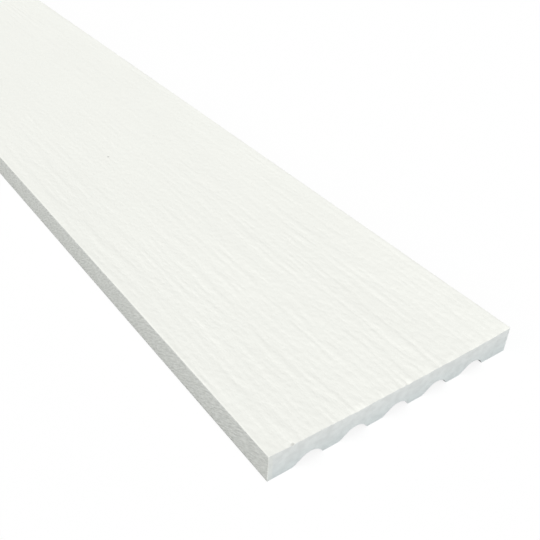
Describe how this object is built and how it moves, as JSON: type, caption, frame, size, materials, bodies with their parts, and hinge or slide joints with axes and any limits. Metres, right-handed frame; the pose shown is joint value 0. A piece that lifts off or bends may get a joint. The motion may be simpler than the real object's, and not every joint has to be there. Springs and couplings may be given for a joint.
{
  "type": "fibre cement trim board",
  "caption": "Long flat board with a wood-grain face, square edges, sawn ends and wave-shaped relief grooves along the back.",
  "frame": {"origin": "centre of the board's length and width, on the plane that the back's flat feet rest on", "axes": "+Z out of the face, +Y along the length, +X across the width; the board lies on its back, face up"},
  "size_m": [0.1842, 3.6576, 0.0191],
  "materials": {
    "primed_fibre_cement": "matt off-white factory primer over fibre cement with a wood-grain face, and pale grey sawn ends"
  },
  "bodies": {
    "root": {"trim_board": "primed_fibre_cement"}
  },
  "joints": []
}
